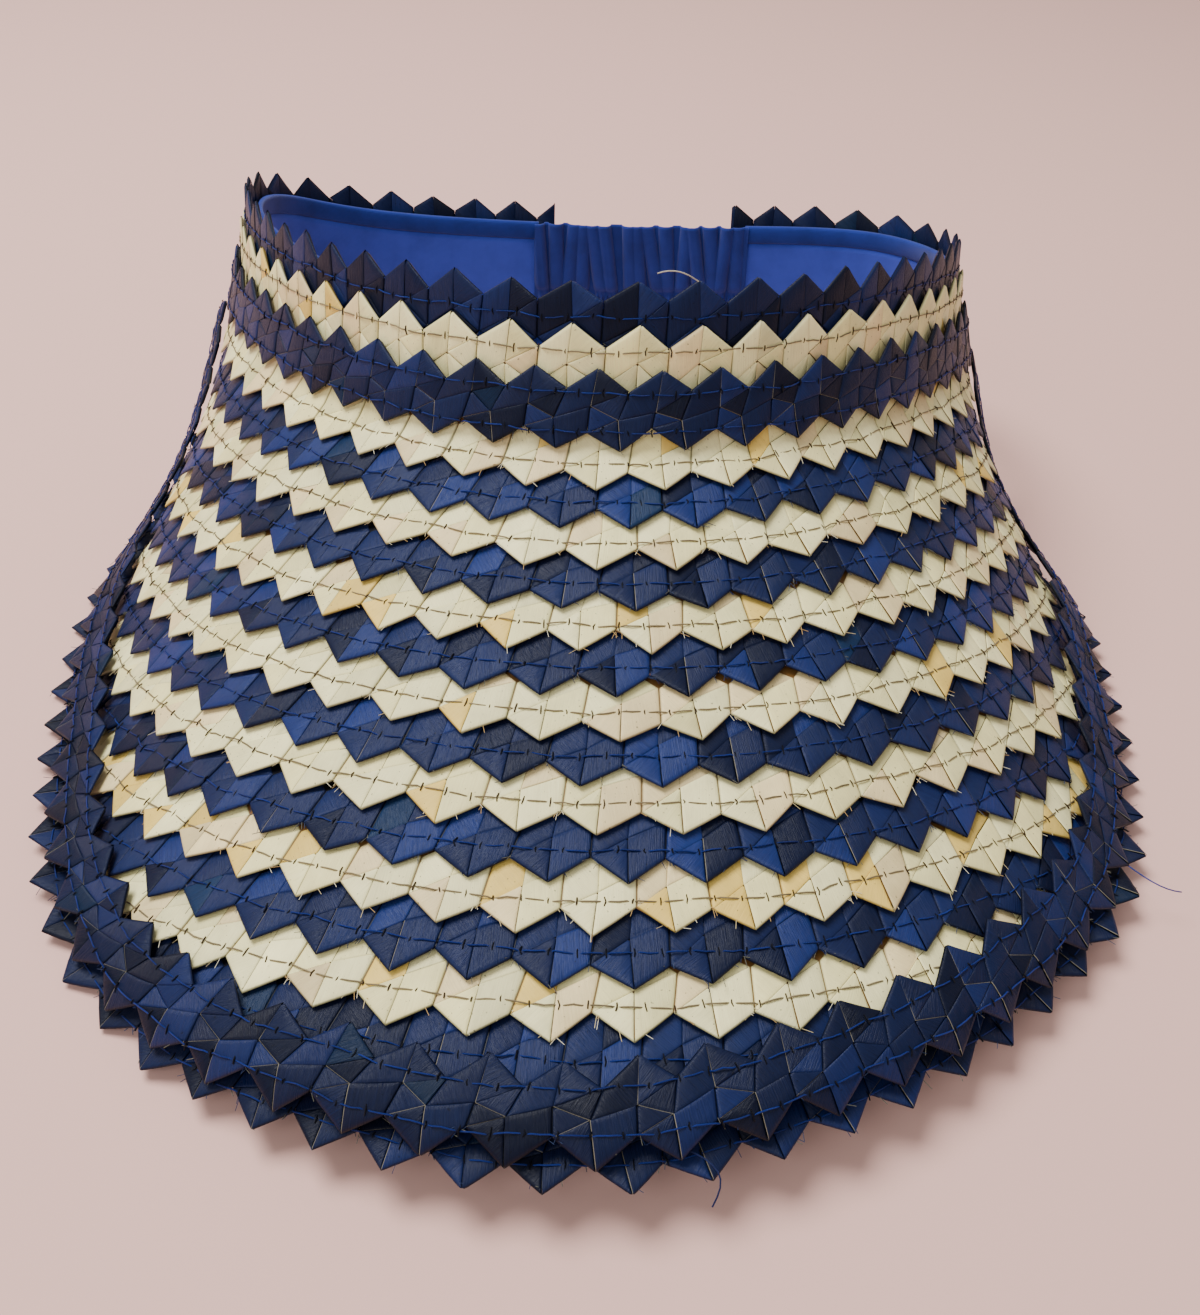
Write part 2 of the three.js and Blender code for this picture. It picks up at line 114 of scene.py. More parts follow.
def surface(q, t):
    """Points of the visor's middle surface and their outward normals."""
    q, t = np.broadcast_arrays(np.asarray(q, float), np.asarray(t, float))
    x, y, ox, oy = plan(q)
    steps = 24
    out, drop = np.zeros(q.shape), np.zeros(q.shape)
    for i in range(steps):
        angle = slope(q, (i + 0.5) / steps * t)
        out += np.cos(angle) * t / steps
        drop += np.sin(angle) * t / steps
    fade = np.clip(1 - t / BRIM_DEPTH, 0, 1)
    rise = SEAM_SAG * np.cos(2 * q) - SIDE_RISE * np.sin(q) ** 5 * fade
    angle = slope(q, t)
    normal = np.stack([ox * np.sin(angle), oy * np.sin(angle), np.cos(angle)], -1)
    return np.stack([x + ox * out, y + oy * out, rise - drop], -1), normal


def along(t):
    """Angles round the visor at depth t, and the length from the front to each."""
    q = np.radians(np.linspace(-180, 180, 721))
    point, _ = surface(q, t)
    length = np.concatenate([[0], np.cumsum(np.linalg.norm(np.diff(point, axis=0), axis=1))])
    return q, length - length[360]


def flare_share(q):
    return smooth((np.abs(np.degrees(q)) - FLARE_FROM) / FLARE_SPAN)


class Border:
    """The border's middle line, as an angle and a depth at each share of its route."""

    def __init__(self):
        left = [(-a, l * BRIM_DEPTH) for a, l, _ in BORDER_ROUTE[1:]][::-1]
        right = [(a, r * BRIM_DEPTH) for a, _, r in BORDER_ROUTE]
        self.knots = np.array(left + right, float)
        self.shares = np.linspace(0, 1, 1201)
        self.angles = self.point(self.shares)[:, 0]
        self.depths = self.point(self.shares)[:, 1]

    def point(self, share):
        n = len(self.knots)
        place = (n - 1) * np.clip(share, 0, 1)
        k = np.minimum(np.floor(place).astype(int), n - 2)
        w = (place - k)[..., None]
        p0, p1 = self.knots[np.maximum(k - 1, 0)], self.knots[k]
        p2, p3 = self.knots[k + 1], self.knots[np.minimum(k + 2, n - 1)]
        v0, v1 = (p2 - p0) / 2, (p3 - p1) / 2
        return (2 * p1 - 2 * p2 + v0 + v1) * w**3 + (3 * p2 - 3 * p1 - 2 * v0 - v1) * w**2 + v0 * w + p1

    def depth(self, q):
        return np.interp(np.degrees(q), self.angles, self.depths)

    def limit(self, q):
        """The depth to which courses run under the border."""
        side, depth = math.radians(0.5), self.depth(q)
        rise = self.depth(q + side) - self.depth(q - side)
        run = np.linalg.norm(surface(q + side, depth)[0] - surface(q - side, depth)[0], axis=-1)
        tuck = COURSE_TUCK - (COURSE_TUCK + FLARE_LINE) * flare_share(q)
        return depth + tuck * np.hypot(1, rise / run)

    def end(self, depth, side):
        q = np.radians(np.linspace(0, 88, 881))
        inside = self.limit(side * q) > depth
        return side * q[np.nonzero(inside)[0].max()]


border = Border()
LIMIT_Q = np.radians(np.linspace(-90, 90, 361))
LIMIT = border.limit(LIMIT_Q)


class Course:
    """A line at one depth that a braid follows: lengths along it, points across it."""

    def __init__(self, depth, line_depth, lift_at, left, right, clip=False):
        self.depth, self.lift_at, self.clip, self.cut = depth, lift_at, clip, not clip
        self.q, self.length = along(line_depth)
        self.low, self.high = np.interp([left, right], self.q, self.length)

    def place(self, distance, across, lift):
        q = np.interp(distance, self.length, self.q)
        if self.clip:
            across = np.minimum(across, np.interp(q, LIMIT_Q, LIMIT) - self.depth)
        point, normal = surface(q, self.depth + across)
        return point + normal * (self.lift_at(across) + lift)[..., None]

    def shows(self, distance, across):
        q = np.interp(distance, self.length, self.q)
        return (across < np.interp(q, LIMIT_Q, LIMIT) - self.depth + 1e-6) | (not self.clip)


class BorderCourse:
    """The border's route, pushed out square to itself by an offset and turned outward.
    The braid is flat between the stations of its section."""

    def __init__(self, stations, offset, start, end):
        self.stations, self.offset, self.cut = stations, offset, False
        self.share = np.linspace(start, end, 401)
        spot = border.point(self.share)
        point, _ = surface(np.radians(spot[:, 0]), spot[:, 1])
        steps = np.linalg.norm(np.diff(point, axis=0), axis=1)
        self.length = np.concatenate([[0], np.cumsum(steps)])
        self.low, self.high = 0.0, self.length[-1]

    def station(self, share, across, lift):
        spot = border.point(share)
        nudge = 0.001
        heading = border.point(np.minimum(share + nudge, 1)) - border.point(np.maximum(share - nudge, 0))
        q, depth = np.radians(spot[..., 0]), spot[..., 1]
        half = math.radians(0.5)
        per_degree = np.linalg.norm(surface(q + half, depth)[0] - surface(q - half, depth)[0], axis=-1)
        run = heading[..., 0] * per_degree
        length = np.hypot(run, heading[..., 1])

        def flat(step):
            reach = step / length
            turn = -heading[..., 1] * reach / per_degree
            return surface(q + np.radians(turn), depth + run * reach)

        past = self.offset + across + FLARE_LINE
        if past <= CLEARANCE:
            point, normal = flat(self.offset + across)
            return point + normal * lift, normal
        angle = np.radians(np.where(q < 0, FLARE_LEFT, FLARE_RIGHT)) * flare_share(q)
        sin, cos = np.sin(angle)[..., None], np.cos(angle)[..., None]
        inner = self.offset + across - past * (1 - np.cos(angle))
        point, normal = flat(inner)
        outward = flat(inner + CLEARANCE)[0] - point
        outward /= np.linalg.norm(outward, axis=-1, keepdims=True)
        point = point + normal * past * sin
        normal = normal * cos - outward * sin
        return point + normal * lift, normal

    def place(self, distance, across, lift):
        share = np.interp(distance, self.length, self.share)
        known = [self.station(share, a, l) for a, l in self.stations]
        places = [a for a, _ in self.stations]
        point, normal = np.zeros(share.shape + (3,)), np.zeros(share.shape + (3,))
        for k, (p, n) in enumerate(known):
            weight = np.interp(across, places, np.arange(len(places)) == k)[..., None]
            point, normal = point + weight * p, normal + weight * n
        normal /= np.linalg.norm(normal, axis=-1, keepdims=True)
        return point + normal * lift[..., None]

    def shows(self, distance, across):
        return np.ones(np.shape(distance), bool)


SMALLEST_FACE = 1e-11


class Shell:
    """Collects patches of a mesh with a colour and fibre coordinates at each point."""

    def __init__(self):
        self.points, self.faces, self.colours, self.uvs = [], [], [], []
        self.count = 0

    def add(self, points, faces, colours, uvs):
        self.points.append(points)
        self.faces.append(faces + self.count)
        self.colours.append(colours)
        self.uvs.append(uvs)
        self.count += len(points)

    def make(self, name, material):
        points = world(np.concatenate(self.points))
        faces = np.concatenate(self.faces)
        p = points[faces]
        area = np.linalg.norm(np.cross(p[:, 2] - p[:, 0], p[:, 3] - p[:, 1]), axis=1) / 2
        faces = faces[area > SMALLEST_FACE]
        used = np.unique(faces)
        order = np.zeros(len(points), int)
        order[used] = np.arange(len(used))
        faces = order[faces]
        mesh = bpy.data.meshes.new(name)
        mesh.vertices.add(len(used))
        mesh.vertices.foreach_set("co", points[used].astype(np.float32).ravel())
        mesh.loops.add(faces.size)
        mesh.loops.foreach_set("vertex_index", faces.astype(np.int32).ravel())
        mesh.polygons.add(len(faces))
        mesh.polygons.foreach_set("loop_start", np.arange(0, faces.size, 4, dtype=np.int32))
        mesh.polygons.foreach_set("use_smooth", np.ones(len(faces), bool))
        mesh.update(calc_edges=True)
        uv = mesh.uv_layers.new(name="fibre")
        flat = np.concatenate(self.uvs)[used][faces.ravel()]
        uv.data.foreach_set("uv", flat.astype(np.float32).ravel())
        colour = mesh.color_attributes.new("leaf", "FLOAT_COLOR", "POINT")
        rgb = np.concatenate(self.colours)[used]
        rgba = np.hstack([rgb, np.ones((len(rgb), 1))])
        colour.data.foreach_set("color", rgba.astype(np.float32).ravel())
        mesh.materials.append(material)
        mesh.validate()
        obj = bpy.data.objects.new(name, mesh)
        bpy.context.collection.objects.link(obj)
        return obj


def grid_faces(rows, columns):
    i, j = np.meshgrid(np.arange(rows - 1), np.arange(columns - 1), indexing="ij")
    a = (i * columns + j).ravel()
    return np.stack([a, a + columns, a + columns + 1, a + 1], 1)


def linear(rgb):
    c = np.asarray(rgb, float) / 255
    return np.where(c <= 0.04045, c / 12.92, ((c + 0.055) / 1.055) ** 2.4)


# Colours of leaf, with the share of strips that has each
PALETTE_SHARES = [0.44, 0.2, 0.17, 0.03, 0.16]
YELLOWED_LEAF = 3
NATURAL = linear([(252, 243, 182), (248, 236, 168), (240, 217, 160), (242, 206, 106), (243, 233, 168)])
BLUE = linear([(24, 36, 76), (30, 46, 100), (15, 23, 50), (20, 42, 74), (22, 32, 68)])
# Painted shade inside the braids: a brown sheet under natural strips, a near black one under blue strips
SHADE_CORE_NATURAL, SHADE_CORE_BLUE = linear((120, 84, 40)), linear((6, 8, 16))
EDGE_LIGHT = linear((150, 142, 120))

# How a braid's strips lie in one tooth. Places are (along, up) from the lower tip, in
# teeth and braid widths. Each strip has its corners, its height, the direction of its
# fibres in degrees, how its four edges fall (o outer, i inner), and the edge that shows
# a pale line (or none).
TOOTH_UP = 0.27
STRIPS = {
    "brim": [
        ("VL T H H", 0.46, 48, "ooii", None),
        ("T VR MR H", 0.56, 92, "ooii", 3),
        ("VL H U ML", 0.40, 132, "iioo", None),
        ("H MR U U", 0.34, 88, "iooi", None),
    ],
    "crown": [
        ("VL T H H", 0.44, 48, "ooii", None),
        ("T VR H H", 0.40, 92, "ooii", None),
        ("H VR MR MR", 0.50, 130, "ioii", 0),
        ("VL H U ML", 0.55, 92, "iioo", 1),
        ("H MR U U", 0.46, 45, "iooi", None),
    ],
    "sheared": [
        ("VL T K K", 0.46, 50, "ooii", 1),
        ("VL K H H", 0.40, 130, "iioo", 0),
        ("T VR HN K", 0.56, 95, "ooii", 3),
        ("H UR U U", 0.46, 40, "iooi", 3),
        ("H K UR UR", 0.36, 60, "iiii", 0),
        ("K HN UN UR", 0.52, 120, "iioo", None),
    ],
}
PLACES = {
    "brim": {"T": (0, 0), "VL": (-0.5, TOOTH_UP), "VR": (0.5, TOOTH_UP), "H": (0.02, 0.53),
             "U": (0.07, 1), "ML": (-0.43, 1 - TOOTH_UP), "MR": (0.57, 1 - TOOTH_UP)},
    "sheared": {"T": (0, 0), "VL": (-0.5, TOOTH_UP), "VR": (0.5, TOOTH_UP), "K": (-0.04, 0.41),
                "H": (-0.47, 0.54), "HN": (0.53, 0.54), "U": (-0.37, 1), "UN": (0.63, 1),
                "UR": (0.13, 1 - TOOTH_UP)},
}
UPPER_CROWN = {"U": (0.02, 1), "ML": (-0.48, 1 - TOOTH_UP), "MR": (0.52, 1 - TOOTH_UP)}
PLACES["crown"] = {**PLACES["brim"], **UPPER_CROWN}
SAME_IN_NEXT_TOOTH = {"VR": "VL", "HN": "H", "UN": "U", "MR": "ML"}
FINE = np.array([0, 0.02, 0.05, 0.13, 0.5, 0.87, 0.95, 0.98, 1])
COARSE = np.array([0, 0.12, 0.88, 1])
GAP = 0.008
# How much strips differ: corners in teeth, heights in mm, shade and slope as shares,
# fibres in degrees
CORNER_SPREAD, HEIGHT_SPREAD, SHADE_SPREAD, TILT_SPREAD, FIBRE_SPREAD = 0.022, 0.03, 0.07, 0.07, 6
# A strip's middle rises by the bow; its edges round off over shares of its width
BOW, OUTER_ROUND, INNER_ROUND, INNER_FALL, CUT_TAPER = 0.05, 0.14, 0.06, 0.12, 0.4


def strip_grid(corners, ticks):
    """A grid of places over each quadrilateral, with its two coordinates."""
    a, b = np.meshgrid(ticks, ticks, indexing="ij")
    p00, p10, p11, p01 = (corners[:, k, None, None, :] for k in range(4))
    a3, b3 = a[None, ..., None], b[None, ..., None]
    spots = (1 - a3) * (1 - b3) * p00 + a3 * (1 - b3) * p10 + a3 * b3 * p11 + (1 - a3) * b3 * p01
    return spots, a, b


def edge_fall(a, b, kinds, height, side):
    """How far a strip's surface drops towards each of its edges."""
    fall = np.zeros(a.shape)
    for kind, gap in zip(kinds, (b, 1 - a, 1 - b, a)):
        if kind == "o":
            near = np.clip(1 - gap / OUTER_ROUND, 0, 1)
            fall = np.maximum(fall, height * (1 - np.sqrt(1 - near**2)))
        else:
            near = np.clip(1 - gap / INNER_ROUND, 0, 1)
            fall = np.maximum(fall, INNER_FALL * side * near**2)
    return fall


def braid(shell, course, pitch, shift, style, palette, rng, pale, trim, yellowed):
    """Adds every strip of a braid, front and back."""
    first = math.ceil((course.low - trim * pitch) / pitch + 0.5 - shift)
    last = math.floor((course.high + trim * pitch) / pitch - 0.5 - shift)
    index = np.arange(first, last + 1)
    n = len(index)
    nodes = np.arange(first - 2, last + 3)
    wobble = rng.normal(0, CORNER_SPREAD, (len(nodes), 8, 2))
    tips = {}
    names = list(PLACES[style])
    for k, name in enumerate(names):
        x, v = PLACES[style][name]
        twin = SAME_IN_NEXT_TOOTH.get(name)
        row = names.index(twin) if twin else k
        step = 3 if twin else 2
        move = wobble[step : step + n, row % 8]
        steady = 0.6 if v in (0, 1) else 1
        tips[name] = np.stack([(index + shift + x + move[:, 0]) * pitch, v + steady * move[:, 1]], 1)
    for number, (corner_names, height, fibre, kinds, light) in enumerate(STRIPS[style]):
        words = corner_names.split()
        corners = np.stack([tips[w] for w in words], 1)
        if words[2] == words[3]:
            corners = corners.copy()
            corners[:, 2] += 0.05 * (corners[:, 1] - corners[:, 2])
            corners[:, 3] += 0.05 * (corners[:, 0] - corners[:, 3])
        middle = corners.mean(1, keepdims=True)
        corners = corners + (middle - corners) * GAP
        lifts = height + rng.normal(0, HEIGHT_SPREAD, n)
        choice = rng.choice(len(palette), n, p=PALETTE_SHARES)
        if yellowed:
            share = yellowed if number % 2 == 0 else yellowed / 3
            choice = np.where(rng.random(n) < share, YELLOWED_LEAF, choice)
        colour = palette[choice] * (1 + rng.normal(0, SHADE_SPREAD, (n, 1)))
        tilt = rng.normal(0, TILT_SPREAD, (n, 2))
        pale_on = rng.random(n) < pale
        angle = np.radians(fibre + rng.normal(0, FIBRE_SPREAD, n))
        seed = rng.uniform(0, 40, (n, 2))
        for front, ticks in ((True, FINE), (False, COARSE)):
            spots, a, b = strip_grid(corners, ticks)
            fall = edge_fall(a, b, kinds, height, 1 if front else 0.6)
            bow = BOW * np.sin(math.pi * a) * np.sin(math.pi * b)
            lift = lifts[:, None, None] - fall + bow
            lean = tilt[:, 0, None, None] * (a - 0.5) + tilt[:, 1, None, None] * (b - 0.5)
            lift = lift + lean * (fall < 0.1)
            lift = lift if front else -lift
            dist, across = spots[..., 0], HALF - spots[..., 1] * BRAID_WIDTH
            if course.cut:
                dist = np.clip(dist, course.low, course.high)
                to_end = np.minimum(dist - course.low, course.high - dist)
                lift = lift * np.clip(to_end / CUT_TAPER, 0, 1)
            keep = course.shows(dist, across).any(axis=(1, 2))
            if not keep.any():
                continue
            points = course.place(dist[keep], across[keep], lift[keep])
            m, na, nb = points.shape[:3]
            rgb = np.broadcast_to(colour[keep][:, None, None, :], points.shape).copy()
            if front and light is not None:
                line = {0: b < 0.01, 1: a > 0.99, 2: b > 0.99, 3: a < 0.01}[light]
                mask = pale_on[keep][:, None, None] & line[None]
                rgb[mask] = EDGE_LIGHT
            # The folded edge of the braid is in shade
            for kind, gap in zip(kinds, (b, 1 - a, 1 - b, a)):
                if kind == "o":
                    shade = 1 - 0.75 * (gap < 0.01) - 0.35 * (abs(gap - 0.02) < 0.01)
                    rgb *= shade[None, :, :, None]
            u, w = dist[keep], across[keep]
            cos, sin = np.cos(angle[keep])[:, None, None], np.sin(angle[keep])[:, None, None]
            uv = np.stack([u * cos - w * sin, u * sin + w * cos], -1) / 10
            uv = uv + seed[keep][:, None, None, :]
            faces = grid_faces(na, nb)
            if not front:
                faces = faces[:, ::-1]
            every = (np.arange(m)[:, None, None] * na * nb + faces[None]).reshape(-1, 4)
            shell.add(points.reshape(-1, 3), every, rgb.reshape(-1, 3), uv.reshape(-1, 2))


CORE_INSET, CORE_HALF, CORE_COLUMNS, CORE_TOP = 0.9, 0.1, 9, 1.3


def shade_core(shell, course, pitch, shift, style, colour):
    """A dark sheet inside a braid, painted shade that is seen only through the slits between its strips.
    """
    half = pitch / 2
    first = math.ceil(course.low / half - 2 * shift)
    last = math.floor(course.high / half - 2 * shift)
    distance = (np.arange(first, last + 1) + 2 * shift) * half
    turn = distance / pitch - shift
    wave = 2 * abs(turn - np.round(turn))
    tooth = TOOTH_UP * BRAID_WIDTH
    upper = -HALF + CORE_INSET + {"crown": tooth * wave, "brim": CORE_TOP, "sheared": tooth}[style]
    lower = HALF - CORE_INSET - tooth * wave
    distance = np.clip(distance, course.low + 0.5, course.high - 0.5)
    across = np.linspace(upper + 0 * lower, lower, CORE_COLUMNS, axis=1)
    along_it = np.repeat(distance[:, None], CORE_COLUMNS, axis=1)
    for side in (1, -1):
        points = course.place(along_it, across, np.full(across.shape, CORE_HALF * side))
        faces = grid_faces(len(distance), CORE_COLUMNS)
        rgb = np.tile(colour, (across.size, 1))
        turned = faces if side < 0 else faces[:, ::-1]
        shell.add(points.reshape(-1, 3), turned, rgb, np.zeros((len(rgb), 2)))


def tubes(shell, paths, radius, colour, sides=5):
    """Round threads along paths given as an array (thread, place, axis)."""
    n, k = paths.shape[:2]
    ahead = np.gradient(paths, axis=1)
    ahead /= np.linalg.norm(ahead, axis=-1, keepdims=True) + 1e-9
    first = np.cross(ahead, (0.31, 0.17, 0.93))
    first /= np.linalg.norm(first, axis=-1, keepdims=True) + 1e-9
    second = np.cross(ahead, first)
    turn = np.linspace(0, 2 * math.pi, sides, endpoint=False)
    ring = first[:, :, None] * np.cos(turn)[:, None] + second[:, :, None] * np.sin(turn)[:, None]
    points = paths[:, :, None] + ring * np.reshape(radius, (-1, 1, 1, 1))
    i, j = np.meshgrid(np.arange(k - 1), np.arange(sides), indexing="ij")
    a, b = (i * sides + j).ravel(), (i * sides + (j + 1) % sides).ravel()
    faces = np.stack([a, b, b + sides, a + sides], 1)
    every = (np.arange(n)[:, None, None] * k * sides + faces[None]).reshape(-1, 4)
    rgb = np.repeat(np.broadcast_to(colour, (n, 3)), k * sides, axis=0)
    steps = np.stack(np.broadcast_arrays(np.arange(k)[None, :, None] * 0.3, np.arange(sides) * 0.1), -1)
    uv = np.broadcast_to(steps, (n, k, sides, 2)).reshape(-1, 2)
    uv = uv + np.repeat(np.arange(n), k * sides)[:, None]
    shell.add(points.reshape(-1, 3), every, rgb, uv)


STITCH, THREAD_RADIUS, HOLE_SHADE_RADIUS, FIBRE_RADIUS = 4.8, 0.15, 0.15, 0.065


def stitches(shell, holes, course, across, thread, dark, rng):
    """A running seam along a braid, with short dark ticks of painted shade for the needle holes between
    stitches.
    """
    start = np.arange(course.low + 1, course.high - 1 - STITCH, STITCH)
    start = start[course.shows(start, np.full(start.shape, across + 1.0))]
    n = len(start)
    shares = np.array([0.06, 0.2, 0.5, 0.8, 0.94])
    lifts = np.array([0.25, 0.68, 0.76, 0.68, 0.25])
    ends = across + rng.normal(0, 0.25, n + 1)
    distance = start[:, None] + STITCH * shares
    height = lifts + rng.normal(0, 0.05, (n, 1))
    over = ends[:-1, None] + (ends[1:] - ends[:-1])[:, None] * shares + rng.normal(0, 0.06, (n, 5))
    shade = thread * (1 + rng.normal(0, 0.12, (n, 1)))
    tubes(shell, course.place(distance, over, height), THREAD_RADIUS, shade)
    # Painted shade: short dark ticks where the needle holes are
    spread = np.array([-1, 0, 1]) * rng.uniform(0.35, 0.95, (n, 1))
    tick = course.place(start[:, None] + rng.normal(0, 0.12, (n, 3)), ends[:-1, None] + spread,
                        np.array([0.5, 0.66, 0.5]) + np.zeros((n, 1)))
    tubes(holes, tick, HOLE_SHADE_RADIUS, np.tile(dark, (n, 1)), 4)


def frays(shell, course, pitch, shift, colours, rng, each=5):
    """Short loose fibres at the valleys and along the tooth edges."""
    first, last = math.ceil(course.low / pitch - shift), math.floor(course.high / pitch - shift)
    n = max(last - first, 0) * each
    if not n:
        return
    tooth = TOOTH_UP * BRAID_WIDTH
    in_valley = rng.random(n) < 0.6
    valley = rng.choice([-0.5, 0.5], n) + rng.normal(0, 0.05, n)
    u = np.where(in_valley, valley, rng.uniform(-0.5, 0.5, n))
    distance = (first + shift + np.repeat(np.arange(n // each), each) + u) * pitch
    edge = HALF - tooth * np.minimum(2 * abs(u), 1)
    heading = rng.uniform(-1.3, 1.3, n)
    size = rng.uniform(0.6, 2.2, n)
    steps = np.array([0, 0.5, 1])
    across = edge[:, None] - 0.5 + size[:, None] * np.cos(heading)[:, None] * steps
    along_it = distance[:, None] + size[:, None] * np.sin(heading)[:, None] * steps
    lift = 0.15 + rng.uniform(0, 0.5, (n, 1)) * steps
    within = (along_it > course.low) & (along_it < course.high)
    keep = (course.shows(along_it, across + 1.5) & within).all(axis=1)
    if keep.any():
        tone = colours[rng.integers(0, len(colours), n)][keep]
        tubes(shell, course.place(along_it[keep], across[keep], lift[keep]), FIBRE_RADIUS, tone, 3)


def tilted(lift, tilt):
    """A braid's lift over the middle surface, which changes evenly across it."""
    return lambda value: lift + tilt * value


# Materials
def straw_material(name, rough, specular, line_dark, bump):
    """Split palm leaf: fine fibres along each strip, over the strip's own colour."""
    material = bpy.data.materials.new(name)
    material.use_nodes = True
    tree = material.node_tree
    nodes, links = tree.nodes, tree.links
    shader = nodes["Principled BSDF"]
    shader.inputs["Roughness"].default_value = rough
    shader.inputs["Specular IOR Level"].default_value = specular
    uv = nodes.new("ShaderNodeUVMap")
    uv.uv_map = "fibre"
    stretch = nodes.new("ShaderNodeMapping")
    stretch.inputs["Scale"].default_value = (1.6, 46, 1)
    links.new(uv.outputs["UV"], stretch.inputs["Vector"])
    fibres = nodes.new("ShaderNodeTexNoise")
    fibres.inputs["Scale"].default_value = 1
    fibres.inputs["Detail"].default_value = 3
    fibres.inputs["Roughness"].default_value = 0.65
    links.new(stretch.outputs["Vector"], fibres.inputs["Vector"])
    blotch = nodes.new("ShaderNodeTexNoise")
    blotch.inputs["Scale"].default_value = 1.7
    blotch.inputs["Detail"].default_value = 4
    links.new(uv.outputs["UV"], blotch.inputs["Vector"])
    leaf = nodes.new("ShaderNodeVertexColor")
    leaf.layer_name = "leaf"
    shade = nodes.new("ShaderNodeMapRange")
    shade.inputs["From Min"].default_value = 0.3
    shade.inputs["From Max"].default_value = 0.7
    shade.inputs["To Min"].default_value = 1 - line_dark
    shade.inputs["To Max"].default_value = 1 + line_dark
    links.new(fibres.outputs["Fac"], shade.inputs["Value"])
    cloud = nodes.new("ShaderNodeMapRange")
    cloud.inputs["From Min"].default_value = 0.3
    cloud.inputs["From Max"].default_value = 0.75
    cloud.inputs["To Min"].default_value = 0.88
    cloud.inputs["To Max"].default_value = 1.08
    links.new(blotch.outputs["Fac"], cloud.inputs["Value"])
    product = nodes.new("ShaderNodeMath")
    product.operation = "MULTIPLY"
    links.new(shade.outputs["Result"], product.inputs[0])
    links.new(cloud.outputs["Result"], product.inputs[1])
    specks = nodes.new("ShaderNodeTexNoise")
    specks.inputs["Scale"].default_value = 16
    specks.inputs["Detail"].default_value = 1
    links.new(uv.outputs["UV"], specks.inputs["Vector"])
    speck = nodes.new("ShaderNodeMapRange")
    speck.inputs["From Min"].default_value = 0.7
    speck.inputs["From Max"].default_value = 0.76
    speck.inputs["To Min"].default_value = 1
    speck.inputs["To Max"].default_value = 0.45
    links.new(specks.outputs["Fac"], speck.inputs["Value"])
    marked = nodes.new("ShaderNodeMath")
    marked.operation = "MULTIPLY"
    links.new(product.outputs["Value"], marked.inputs[0])
    links.new(speck.outputs["Result"], marked.inputs[1])
    tint = nodes.new("ShaderNodeVectorMath")
    tint.operation = "SCALE"
    links.new(leaf.outputs["Color"], tint.inputs[0])
    links.new(marked.outputs["Value"], tint.inputs["Scale"])
    links.new(tint.outputs["Vector"], shader.inputs["Base Color"])
    relief = nodes.new("ShaderNodeBump")
    relief.inputs["Strength"].default_value = bump
    relief.inputs["Distance"].default_value = 0.0003
    links.new(fibres.outputs["Fac"], relief.inputs["Height"])
    links.new(relief.outputs["Normal"], shader.inputs["Normal"])
    return material


def cloth_material(name, rgb, dark):
    """Plain woven cotton: two crossed sets of threads and a soft fuzz."""
    material = bpy.data.materials.new(name)
    material.use_nodes = True
    nodes, links = material.node_tree.nodes, material.node_tree.links
    shader = nodes["Principled BSDF"]
    shader.inputs["Roughness"].default_value = 0.85
    shader.inputs["Sheen Weight"].default_value = 0.12
    shader.inputs["Specular IOR Level"].default_value = 0.15
    shader.inputs["Sheen Roughness"].default_value = 0.5
    uv = nodes.new("ShaderNodeUVMap")
    uv.uv_map = "fibre"
    heights = []
    for direction in ("X", "Y"):
        wave = nodes.new("ShaderNodeTexWave")
        wave.bands_direction = direction
        wave.inputs["Scale"].default_value = 9
        wave.inputs["Distortion"].default_value = 0.6
        wave.inputs["Detail"].default_value = 1
        links.new(uv.outputs["UV"], wave.inputs["Vector"])
        heights.append(wave)
    weave = nodes.new("ShaderNodeMath")
    weave.operation = "MAXIMUM"
    links.new(heights[0].outputs["Fac"], weave.inputs[0])
    links.new(heights[1].outputs["Fac"], weave.inputs[1])
    cloud = nodes.new("ShaderNodeTexNoise")
    cloud.inputs["Scale"].default_value = 1.2
    cloud.inputs["Detail"].default_value = 5
    links.new(uv.outputs["UV"], cloud.inputs["Vector"])
    blend = nodes.new("ShaderNodeMath")
    blend.operation = "MULTIPLY_ADD"
    links.new(weave.outputs["Value"], blend.inputs[0])
    blend.inputs[1].default_value = 0.5
    links.new(cloud.outputs["Fac"], blend.inputs[2])
    ramp = nodes.new("ShaderNodeValToRGB")
    ramp.color_ramp.elements[0].position = 0.35
    ramp.color_ramp.elements[0].color = (*(linear(rgb) * dark), 1)
    ramp.color_ramp.elements[1].position = 1.0
    ramp.color_ramp.elements[1].color = (*linear(rgb), 1)
    links.new(blend.outputs["Value"], ramp.inputs["Fac"])
    links.new(ramp.outputs["Color"], shader.inputs["Base Color"])
    relief = nodes.new("ShaderNodeBump")
    relief.inputs["Strength"].default_value = 0.35
    relief.inputs["Distance"].default_value = 0.0002
    links.new(weave.outputs["Value"], relief.inputs["Height"])
    links.new(relief.outputs["Normal"], shader.inputs["Normal"])
    return material


natural_straw = straw_material("natural_straw", 0.5, 0.3, 0.08, 0.35)
blue_straw = straw_material("blue_straw", 0.38, 0.16, 0.24, 0.6)
lining_cloth = cloth_material("lining_cloth", (64, 84, 196), 0.62)
casing_cloth = cloth_material("casing_cloth", (40, 56, 140), 0.5)
binding_cloth = cloth_material("binding_cloth", (34, 54, 140), 0.5)


def finish_piece(obj, node):
    """Ties a piece to the visor's body, and hides the solid that it stands for, where there is one."""
    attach(obj, "root")
    if node:
        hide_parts(node)
    return obj


seam_natural, seam_blue, needle_marks = Shell(), Shell(), Shell()
THREAD_NATURAL, THREAD_BLUE = linear((128, 114, 84)), linear((26, 44, 112))
